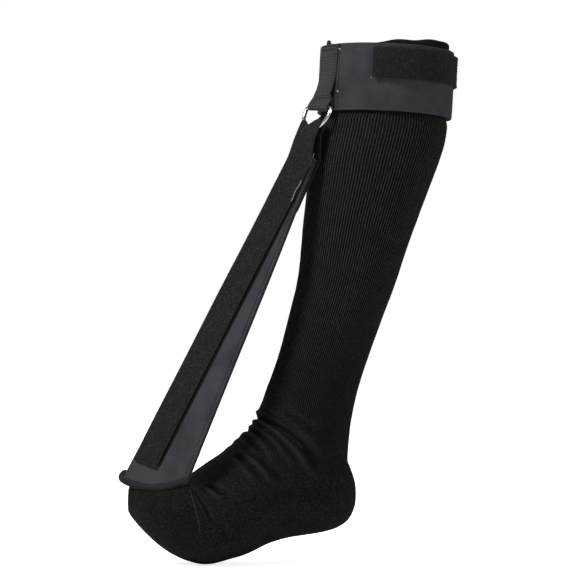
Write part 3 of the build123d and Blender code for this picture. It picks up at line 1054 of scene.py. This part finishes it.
def build_tape():
    """Tape sewn to the flap's end, laid round the back on to the cuff's side, its corner lifting."""
    turns = TAB_SEWN + (TAB_FREE - TAB_SEWN) * edged(120, 2.67 * CUFF_OUT, 0.6 * MM)
    heights = TAB_BOTTOM + (TAB_TOP - TAB_BOTTOM) * edged(26, TAPE, 0.5 * MM)
    t, h = np.meshgrid(turns, heights, indexing="xy")
    corner = ease((TAB_FREE + 9 - t) / 9) * ease((TAB_BOTTOM + 9 * MM - h) / (9 * MM))
    r = TAB_REST + (TAB_ROOT - TAB_REST) * ease((t - 167) / 14) + 1.5 * MM * corner
    r += 0.18 * MM * np.sin(np.radians(t * 9)) * np.sin((h - TAB_BOTTOM) / TAPE * pi)
    grid = cuff.to_row(around(t, r, h))
    away = cuff.to_row(around(t, r + 1, h)) - grid
    pile = 0.12 * MM * noise(grid, 1.6 * MM, 12)
    tape = slab("closing_tape", grid, WEB, away, lift=pile)
    finish_piece(tape, LOOP, None, ("tab_anchor", "cuff_tab"))
    hair = fuzz("closing_tape_pile", grid + unit(away) * WEB * 0.5, away, 2600, 0.9 * MM)
    finish_piece(hair, LOOP)
    bend = (cuff.to_row(around(187, TAB_ROOT, 0)), cuff.to_row(around(174, TAB_ROOT, 0)))
    for piece in (tape, hair):
        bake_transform(piece)


def build_tape_stitches():
    """A box of stitches where the tape is sewn to the flap."""
    radius = TAB_ROOT + WEB * 0.55
    run = np.linspace(202, 183, 30)
    rise = np.linspace(TAB_BOTTOM + 2 * MM, TAB_TOP - 2 * MM, 20)
    rows = []
    for height in (TAB_BOTTOM + 1.6 * MM, TAB_TOP - 1.6 * MM):
        path = cuff.to_row(around(run, radius, height))
        rows.append(sew("row", path, path - cuff.to_row(around(run, 0, height))))
    for turn in (201.5, 183.5):
        path = cuff.to_row(around(turn, radius, rise))
        rows.append(sew("row", path, path[10] - cuff.origin))
    finish_piece(join("tape_stitches", rows), GREY_THREAD, "cuff_flap")


def build_tape_hooks():
    """Hook patch between the tape and the cuff."""
    low, high = radii("cuff_tab_hooks")
    turns = np.linspace(54, 163, 90)
    heights = np.linspace(TAB_BOTTOM + 0.6 * MM, TAB_TOP - 0.6 * MM, 20)
    t, h = np.meshgrid(turns, heights, indexing="xy")
    grid = cuff.to_row(around(t, (low + high) / 2, h))
    away = cuff.to_row(around(t, high + 1, h)) - grid
    hooks = slab("closing_hooks", grid, high - low, away)
    finish_piece(hooks, HOOK, "cuff_tab", ("cuff_tab_hooks",))


def build_tape_tail():
    """Light thread end hanging from the tape's lower free corner."""
    turns = np.array([53, 51.5, 50, 49.2, 48.8])
    out = TAB_REST + np.array([0.5, 1.0, 1.3, 1.0, 1.4]) * MM
    heights = TAB_BOTTOM + np.array([0.6, 0.2, 0.5, -0.4, -1.2]) * MM
    path = cuff.to_row(around(turns, out, heights))
    finish_piece(tube("tape_tail", path, 0.2 * MM, sides=6), LIGHT_THREAD, "cuff_tab")


build_tape()
build_tape_stitches()
build_tape_hooks()
build_tape_tail()


# ---- hanger and ring ----
def web_turn(height):
    """Angle of the webbing's middle at a height on the cuff."""
    return WEB_TURN + WEB_LEAN * height / CUFF_HALF


def web_off(height):
    """How far the webbing stands off the cuff at a height."""
    return LIFT_OFF * ease((6 * MM - height) / (22 * MM))


HANGER_ACROSS = (edged(22, TAPE, 0.5 * MM) - 0.5) * TAPE
HANGER_STEP = 0.28 * MM
ANCHOR_BOTTOM = polar("hanger_anchor")[2].min()
ANCHOR_TOP = polar("hanger_anchor")[2].max()
ON_CUFF = CUFF_OUT + WEB / 2 + 0.05 * MM


def cuff_line(height, lift=0.0):
    """Across the webbing where it lies on the cuff."""
    turn = web_turn(height) + np.degrees(HANGER_ACROSS / ON_CUFF)
    return cuff.to_row(around(turn, ON_CUFF + lift + web_off(height), height))


def ring_line(x, out):
    """Across the webbing where it hangs free and turns round the ring's bar."""
    side = HANGER_ACROSS
    return ring.to_row(np.stack([np.full_like(side, x), side, np.full_like(side, out)], -1))


def hanger_grid():
    """Middle of the webbing: down the cuff, round the ring's bar and up behind itself."""
    grip = WIRE + WEB / 2 + 0.1 * MM
    keys = [cuff_line(h) for h in np.linspace(ANCHOR_TOP, ANCHOR_BOTTOM + 1 * MM, 30)]
    keys += [cuff_line(ANCHOR_BOTTOM - 4 * MM, 1.2 * MM)]
    keys += [ring_line(-7 * MM, WEB * 0.62), ring_line(-4 * MM, grip * 0.75)]
    keys += [ring_line(grip * sin(t), grip * cos(t)) for t in np.radians(np.arange(0, 181, 20))]
    keys += [ring_line(-4 * MM, -grip * 0.75)]
    keys += [ring_line(x, -WEB * 0.5) for x in (-7 * MM, -11.5 * MM)]
    return flow(keys, HANGER_STEP, 0.5 * MM)


def build_webbing(grid):
    """Woven rungs across the middle, smooth raised selvedges at the sides."""
    across = np.broadcast_to(HANGER_ACROSS[None], grid.shape[:2])
    rungs = np.abs(np.sin(run_lengths(grid, 0) * pi / (1.15 * MM)))
    selvedge = ease((np.abs(across) - TAPE / 2 + 2.4 * MM) / (0.8 * MM))
    lift = 0.16 * MM * rungs * (1 - selvedge) + 0.2 * MM * selvedge
    webbing = slab("hanger_webbing", grid, TAPE_THICK, None, edge=TAPE_EDGE, lift=lift)
    finish_piece(webbing, WEBBING, None, ("hanger_anchor", "hanger_loop"))
    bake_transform(webbing)


def build_hanger_stitches():
    """Rows down both sides of the sewn webbing and two across its top."""
    heights = np.linspace(ANCHOR_TOP - 2 * MM, ANCHOR_BOTTOM + 2 * MM, 40)
    rows = []
    for side in (-1, 1):
        turn = web_turn(heights) + np.degrees(side * (TAPE / 2 - 1.7 * MM) / ON_CUFF)
        lift = WEB * 0.55 + web_off(heights)
        path = cuff.to_row(around(turn, ON_CUFF + lift, heights))
        rows.append(sew("row", path, path[20] - cuff.origin))
    turns = WEB_TURN + WEB_LEAN + np.linspace(-10.5, 10.5, 30)
    for height in (ANCHOR_TOP - 4.5 * MM, ANCHOR_TOP - 1.2 * MM):
        path = cuff.to_row(around(turns, ON_CUFF + WEB * 0.6, height))
        rows.append(sew("row", path, path - cuff.to_row(around(turns, 0, height)), pitch=1.8 * MM))
    finish_piece(join("hanger_stitches", rows), DARK_THREAD, "leg")


def build_bartacks(grid):
    """Five thick bars of thread where the webbing leaves the cuff."""
    first = int(np.argmax(grid[:, 0] @ cuff_up < (cuff_line(ANCHOR_BOTTOM)[0] @ cuff_up)))
    normals = grid_normals(grid)
    inside = slice(5, -5)
    bars = []
    for row in range(5):
        at = first + int((1.4 + 1.75 * row) * MM / HANGER_STEP)
        line = grid[at, inside] + normals[at, inside] * WEB * 0.7
        bars.append(tube("bar", line, 0.5 * MM, sides=8))
    finish_piece(join("bartacks", bars), GREY_THREAD, "hanger", ("hanger_bartacks",))


def build_ring():
    """Steel D: straight bar, rounded shoulders, half-round bow."""
    shoulder = 3.2 * MM
    bow_centre = RING_DEPTH - RING_HALF
    path = [(0, y) for y in np.linspace(-RING_HALF + shoulder, RING_HALF - shoulder, 24)]
    arc = np.radians(range(10, 91, 10))
    path += [(shoulder * (1 - cos(t)), RING_HALF - shoulder * (1 - sin(t))) for t in arc]
    path += [(bow_centre + RING_HALF * sin(t), RING_HALF * cos(t)) for t in np.radians(range(0, 181, 3))]
    path += [(shoulder * (1 - cos(t)), shoulder * (1 - sin(t)) - RING_HALF) for t in arc[::-1]]
    row = ring.to_row(np.array([(x, y, 0) for x, y in path]))
    obj = tube("d_ring_wire", row, WIRE, sides=28, closed=True, out=ring.rows[2])
    finish_piece(obj, STEEL, "ring", ("d_ring",))


webbing_middle = hanger_grid()
build_webbing(webbing_middle)
build_hanger_stitches()
build_bartacks(webbing_middle)
build_ring()


# ---- pull strap ----
ACROSS = (edged(24, TAPE, 0.5 * MM) - 0.5) * TAPE
STRAP_GRIP = WIRE + WEB / 2 + 0.15 * MM       # from the wire's middle to the tape's middle
STRAP_LEVEL = span("pull_strap_hooks", strap, 2)[1] + WEB / 2
STRAP_END = span("pull_strap_front", strap, 0)[1]
LIFT_X = strap.to_local(lift_point)[0]


def swing(x):
    """How far the strap bears away to the far side on its way down."""
    return -3.4 * MM * ease((x - LIFT_X) / (STRAP_END - LIFT_X))


def bow_line(turn):
    """Across the tape where it turns through the ring; turn -90 is behind the bow, 90 in front."""
    lean = np.arcsin(ACROSS / RING_HALF)
    radial = np.stack([np.cos(lean), np.sin(lean), np.zeros_like(lean)], -1)
    on_bow = radial * RING_HALF + np.array([RING_DEPTH - RING_HALF, 0, 0])
    t = radians(turn)
    loose = 6.0 * MM * ease((ACROSS + 8 * MM) / (12 * MM))[:, None]
    forward = np.array([0, 0, 1]) * STRAP_GRIP * sin(t)
    return ring.to_row(on_bow - radial * (STRAP_GRIP + loose) * cos(t) + forward)


def flat_line(axes, x, out, shift=0.0):
    return axes.to_row(np.stack([np.full_like(ACROSS, x), ACROSS + shift, np.full_like(ACROSS, out)], -1))


def strap_edges(name, grid):
    """Woven selvedge cords along the tape's edges."""
    cords = [tube("cord", grid[::3, column], WEB * 0.38, sides=6) for column in (0, -1)]
    return finish_piece(join(name, cords), SELVEDGE)


def build_strap_front():
    """From behind the ring's bow, through the ring and down to the panel's base."""
    keys = [bow_line(t) for t in range(-80, 91, 10)]
    keys += [flat_line(ring, RING_DEPTH + x, STRAP_GRIP) for x in (3 * MM, 9.5 * MM)]
    places = np.linspace(LIFT_X + 18 * MM, STRAP_END, 40)
    keys += [flat_line(strap, x, STRAP_LEVEL, swing(x)) for x in places]
    grid = flow(keys, 0.8 * MM, 1.6 * MM)
    down = run_lengths(grid, 0)
    ripple = 0.22 * MM * np.sin(down / (21 * MM)) * ease((down - 60 * MM) / (30 * MM))
    grid = grid + strap.rows[2] * ripple[..., None]
    pile = 0.12 * MM * noise(grid, 1.7 * MM, 21)
    front = slab("pull_strap", grid, TAPE_THICK, None, edge=TAPE_EDGE, lift=pile)
    finish_piece(front, LOOP, None, ("pull_strap_front",))
    skin = grid + grid_normals(grid) * WEB * 0.5
    hair = finish_piece(fuzz("pull_strap_pile", skin[20:], None, 5200, 0.9 * MM), LOOP)
    cords = strap_edges("pull_strap_edges", grid)
    fray = skin[76:102, -1] + strap.rows[1] * 0.5 * MM * np.sin(np.linspace(0, 9, 26))[:, None]
    loose = finish_piece(tube("pull_strap_fray", fray, 0.22 * MM, sides=6), LIGHT_THREAD)
    for piece in (front, hair, cords, loose):
        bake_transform(piece)


def build_strap_back():
    """From the ring's bow down to the seam behind the panel's top."""
    behind = BACK - 2.3 * MM
    keys = [bow_line(t) for t in range(-60, -91, -10)]
    keys += [flat_line(ring, RING_DEPTH + 3 * MM, -STRAP_GRIP)]
    keys += [flat_line(panel, x, behind) for x in np.linspace(-1, 48, 12) * MM]
    grid = flow(keys, 0.8 * MM, 3.2 * MM)
    pile = 0.1 * MM * noise(grid, 1.7 * MM, 22)
    back = slab("pull_strap_back", grid, TAPE_THICK, None, edge=TAPE_EDGE, lift=pile)
    finish_piece(back, LOOP, "ring", ("pull_strap_loop",))
    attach(strap_edges("pull_strap_back_edges", grid), "ring")


def build_strap_hooks():
    """Hook patch under the strap's end."""
    low, high = span("pull_strap_hooks", strap, 2)
    down, side = (span("pull_strap_hooks", strap, k) for k in (0, 1))
    x, y = np.meshgrid(np.linspace(*down, 60), np.linspace(*side, 24), indexing="ij")
    grid = strap.to_row(np.stack([x, y + swing(x), np.zeros_like(x)], -1))
    hooks = slab("pull_strap_hook_patch", grid, high - low, None)
    finish_piece(hooks, HOOK, "strap", ("pull_strap_hooks",))


def build_strap_stitches():
    """Two rows down the hook patch and one across the strap's end."""
    top = STRAP_LEVEL + WEB * 0.5
    last = STRAP_END - 2.5 * MM
    down = np.linspace(STRAP_END - 66 * MM, last, 40)
    lines = [[(x, side * (TAPE / 2 - 1.8 * MM) + swing(x), top) for x in down] for side in (-1, 1)]
    lines.append([(last, y + swing(STRAP_END), top) for y in np.linspace(-10.5, 10.5, 12) * MM])
    rows = [sew("row", strap.to_row(np.array(line)), strap.rows[2]) for line in lines]
    finish_piece(join("pull_strap_stitches", rows), DARK_THREAD, "strap")


build_strap_front()
build_strap_back()
build_strap_hooks()
build_strap_stitches()


# ---- toe panel ----
def panel_grid():
    """Places down and across the panel, how far each dips at the stitch rows, and its slow wave."""
    down = edged(150, NEAR_CORNER, 0.5 * MM)
    side = edged(44, 2 * TOP_HALF, 0.25 * MM) * 2 - 1
    u, v = np.meshgrid(down, side, indexing="ij")
    x = u * base_curve(v)
    half = TOP_HALF + (BASE_HALF - TOP_HALF) * u
    y = v * half
    y += FAR_EASE * u * np.clip(-v, 0, 1) + NEAR_EASE * u ** 2 * np.clip(v, 0, 1)
    inset = np.minimum.reduce([(1 - np.abs(v)) * half, x, base_curve(v) - x])
    dip = bell(inset - STITCH_IN, 1.2 * MM) + 0.5 * bell(inset, 1.3 * MM)
    wave = 0.3 * MM * np.sin(x / (34 * MM) + 2 * v) * (1 - bell(v, 0.5)) - 0.5 * MM * u ** 4 * np.abs(v) ** 3
    return x, y, dip, wave


def build_panel():
    layers = (("face", -0.3, LAMINATE, "laminate"), ("foam", 0.0, FOAM, "foam"),
              ("backing", 0.3, LAMINATE, "laminate"))
    for node, follow, material, slot in layers:
        low, high = span("panel_" + node, panel, 2)
        x, y, dip, wave = panel_grid()
        z = (low + high) / 2 + dip * follow * MM + wave
        grid = panel.to_row(np.stack([x, y, z], -1))
        obj = slab("toe_panel_" + node, grid, (high - low) * 0.98, None, edge=0.5 * MM)
        finish_piece(obj, material, "panel", ("panel_" + node,))


def panel_outline_row(level, gap):
    """The two long sides and the top, gap inside the edge."""
    down = np.linspace(0.99, gap / NEAR_CORNER, 150)
    paths = []
    for side in (-1, 1):
        half = TOP_HALF + (BASE_HALF - TOP_HALF) * down - gap
        x = down * base_curve(side)
        wave = 0.3 * MM * np.sin(x / (34 * MM) + 2 * side) * (1 - bell(1, 0.5)) - 0.5 * MM * down ** 4
        across = side * half + (FAR_EASE * down if side < 0 else NEAR_EASE * down ** 2)
        paths.append(panel.to_row(np.stack([x, across, level + wave], -1)))
    top = np.linspace(-1, 1, 12) * (TOP_HALF - gap)
    paths.append(panel.to_row(np.stack([np.full(12, gap), top, np.full(12, level)], -1)))
    return paths


def build_panel_stitches():
    face = [sew("row", path, panel.rows[2]) for path in panel_outline_row(-0.1 * MM, STITCH_IN)]
    back = [sew("row", path, -panel.rows[2]) for path in panel_outline_row(BACK + 0.1 * MM, STITCH_IN)]
    finish_piece(join("toe_panel_stitches", face + back), DARK_THREAD, "panel")


def build_landing():
    """Black strip that the strap's end sticks to, sewn down the panel, sheared so that it shows beside the
    strap as painted shadow of the strap.
    """
    low, high = span("panel_hook_strip", landing, 2)
    size = [span("panel_hook_strip", landing, k) for k in (0, 1)]

    def shadow_shear(x):
        """How far the strip is sheared out to the far side on its way down, so that its black edge shows
        beside the strap as a widening dark wedge: painted shadow of the strap.
        """
        return -8.5 * MM * (x - size[0][0]) / (size[0][1] - size[0][0])

    x, y = np.meshgrid(np.linspace(*size[0], 160), np.linspace(*size[1], 30), indexing="ij")
    grid = landing.to_row(np.stack([x, y + shadow_shear(x), np.zeros_like(x)], -1))
    strip = slab("landing_strip", grid, high - low, None, lift=0.08 * MM * noise(grid, 1.5 * MM, 31))
    finish_piece(strip, HOOK, "panel", ("panel_hook_strip",))
    rows = []
    for side in (0, 1):
        edge = size[1][side] + (0.5 - side) * 3 * MM
        path = np.array([(v, edge + shadow_shear(v), high + 0.05 * MM) for v in np.linspace(*size[0], 120)])
        rows.append(sew("row", landing.to_row(path), landing.rows[2]))
    finish_piece(join("landing_stitches", rows), DARK_THREAD, "panel")


def binding_path():
    """Middle of the bound roll: along the base, then round the far corner and up behind it."""
    side = np.linspace(1.03, -1.0, 90)
    x = base_curve(np.clip(side, -1, 1)) + 1.0 * MM
    along = np.stack([x, base_side(side), np.full_like(side, BACK / 2)], -1)
    turn = np.linspace(0.1, 1, 22)
    curl = along[-1] + np.stack([-9 * MM * turn ** 1.4, -4.6 * MM * np.sin(turn * pi * 0.75),
                                 -5.0 * MM * np.sin(turn * pi * 0.5) ** 2], -1)
    local = np.concatenate([along, curl])
    return flow([[p] for p in local], 0.22 * MM, 1.6 * MM)[:, 0]


def build_binding():
    """Thick overlocked edge: a soft roll wound with thread."""
    path = panel.to_row(binding_path())
    length = run_lengths(path, 0)
    sides = 26
    turn = np.arange(sides) * 2 * pi / sides
    wraps = 0.22 * MM * np.sin(length[:, None] * 2 * pi / (1.35 * MM) + turn[None] * 1.0)
    lumps = 0.25 * MM * np.sin(length[:, None] / (4.3 * MM) + 2)
    lumps = lumps + 0.15 * MM * np.sin(length[:, None] / (1.9 * MM))
    near_end = np.minimum(length, length[-1] - length)
    radius = 2.95 * MM * np.sqrt(np.clip(near_end / (2.2 * MM), 0.02, 1))
    roll = tube("toe_binding", path, radius, sides=sides, out=panel.rows[2], bumps=wraps + lumps)
    finish_piece(roll, BINDING, "panel", ("panel_binding",))
    out = panel.rows[2]
    side = np.cross(unit(np.gradient(path, axis=0)), out)
    angles = [radians(-25 + 32 * k) for k in range(5)]
    rows = [path + (out * cos(a) + side * sin(a)) * 3.05 * MM for a in angles]
    grid = np.stack(rows, 1)
    hair = fuzz("toe_binding_lint", grid, None, 900, 1.1 * MM, 0.06 * MM)
    finish_piece(hair, GREY_THREAD, "panel")


BINDING = thread_finish("binding", (0.017, 0.017, 0.019))
build_panel()
build_panel_stitches()
build_landing()
build_binding()


# ---- loose ends ----
def panel_tail(name, start, way, length, seed):
    """A short waving thread end at the top of the panel."""
    local = np.random.default_rng(seed)
    t = np.linspace(0, 1, 12)[:, None]
    bow = local.normal(0, 0.18, 3)
    path = np.asarray(start) + (unit(way) * t + bow * np.sin(t * pi) * 0.6 + bow[::-1] * t * t) * length
    obj = tube(name, panel.to_row(path), 0.16 * MM, sides=6)
    finish_piece(obj, LIGHT_THREAD, "panel")


panel_tail("panel_tail_a", (1.0 * MM, TOP_HALF, 0.2 * MM), (-0.6, 0.6, 0.4), 6 * MM, 3)
panel_tail("panel_tail_b", (2.0 * MM, TOP_HALF - 2 * MM, 0.2 * MM), (0.9, 0.5, 0.2), 7 * MM, 5)


def build_toe_seam():
    """Fine linked seam of the toe pocket, from the panel's near corner down the side of the foot."""
    top = panel.to_row((NEAR_CORNER + 3 * MM, BASE_HALF - 1 * MM, BACK))
    drop = np.linspace(0.02, 1, 26)
    path = []
    for share in drop:
        start = top + np.array([0.06, 8 * MM * share, -4 * MM - 36 * MM * share])
        found = sock_skin.ray_cast(Vector(start), Vector((-1, 0, 0)))[0]
        if found is not None:
            path.append(np.array(found))
    path = flow([[p] for p in path], 0.8 * MM, 1.5 * MM)[:, 0]
    taper = np.linspace(0.02, 1, len(path)) * np.linspace(5, 0.02, len(path))
    size = 0.4 * MM * np.sqrt(np.clip(taper, 0, 1))
    finish_piece(tube("toe_seam", path, size, sides=8), KNIT_RIDGE, "foot")


sock_skin = BVHTree.FromObject(bpy.data.objects["sock"], bpy.context.evaluated_depsgraph_get())
KNIT_RIDGE = thread_finish("seam_ridge", (0.030, 0.028, 0.026))
build_toe_seam()


# ---- camera, light and floor ----
TO_CAMERA = np.array([sin(radians(63)), -cos(radians(63)), 0])
TO_RIGHT = np.array([cos(radians(63)), sin(radians(63)), 0])
UPWARD = np.array([0, 0, 1])
LENS = 154.4
CAMERA_AWAY = 2.06
SKY_LIGHT = 0.24                  # how strongly the white backdrop lights the sock
FLOOR_GLOW = 0.8                  # whitens the floor in the picture only
FLOOR_HALF = 6.0


def place_facing(obj, location, way):
    """Puts a camera or light in the scene, looking along a direction."""
    bpy.context.collection.objects.link(obj)
    obj.location = location
    obj.rotation_mode = "QUATERNION"
    obj.rotation_quaternion = Vector(way).to_track_quat("-Z", "Y")


def add_camera(centre):
    aim = centre - TO_RIGHT * 9.2 * MM + UPWARD * 7.7 * MM
    camera = bpy.data.objects.new("camera", bpy.data.cameras.new("camera"))
    camera.data.lens = LENS
    place_facing(camera, aim + TO_CAMERA * CAMERA_AWAY, -TO_CAMERA)
    bpy.context.scene.camera = camera


def add_light(name, centre, place, size, power):
    light = bpy.data.lights.new(name, "AREA")
    light.size = size
    light.energy = power
    place_facing(bpy.data.objects.new(name, light), centre + place, -place)


def add_backdrop():
    """A world that is plain white to the camera and a soft light to everything else."""
    world = bpy.data.worlds.new("studio")
    bpy.context.scene.world = world
    world.use_nodes = True
    nodes, links = world.node_tree.nodes, world.node_tree.links
    sky = nodes["Background"]
    path = nodes.new("ShaderNodeLightPath")
    level = nodes.new("ShaderNodeMapRange")
    level.inputs["To Min"].default_value = SKY_LIGHT
    level.inputs["To Max"].default_value = 1.0
    links.new(path.outputs["Is Camera Ray"], level.inputs["Value"])
    links.new(level.outputs[0], sky.inputs["Strength"])
    sky.inputs["Color"].default_value = (1, 1, 1, 1)


def paper_finish():
    paper = Finish("paper", (0.93, 0.93, 0.93), 0.9)
    paper.bump(paper.noise(3 * MM), 0.02 * MM, 0.2)
    seen = paper.tree.nodes.new("ShaderNodeLightPath").outputs["Is Camera Ray"]
    glow = paper.math("MULTIPLY", seen, FLOOR_GLOW)
    paper.tree.links.new(glow, paper.shader.inputs["Emission Strength"])
    paper.shader.inputs["Emission Color"].default_value = (1, 1, 1, 1)
    return paper.done()


def lay_floor(centre, z):
    square = ((-1, -1), (1, -1), (1, 1), (-1, 1))
    corners = [(centre[0] + x * FLOOR_HALF, centre[1] + y * FLOOR_HALF, z) for x, y in square]
    floor = make_object("floor", corners, [(0, 1, 2, 3)], smooth=False)
    floor.data.materials.append(paper_finish())


def stage_scene():
    low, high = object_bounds()
    centre = (np.array(low) + np.array(high)) / 2
    bpy.context.scene.view_settings.view_transform = "Standard"
    add_camera(centre)
    add_light("key", centre, TO_CAMERA * 0.9 - TO_RIGHT * 1.2 + UPWARD * 1.7, 0.5, 46)
    add_light("fill", centre, TO_CAMERA * 1.3 + TO_RIGHT * 1.6 + UPWARD * 0.8, 1.0, 10)
    add_light("rim", centre, -TO_CAMERA * 1.2 + UPWARD * 1.3, 1.0, 10)
    add_backdrop()
    lay_floor(centre, low[2] - 0.2 * MM)


stage_scene()
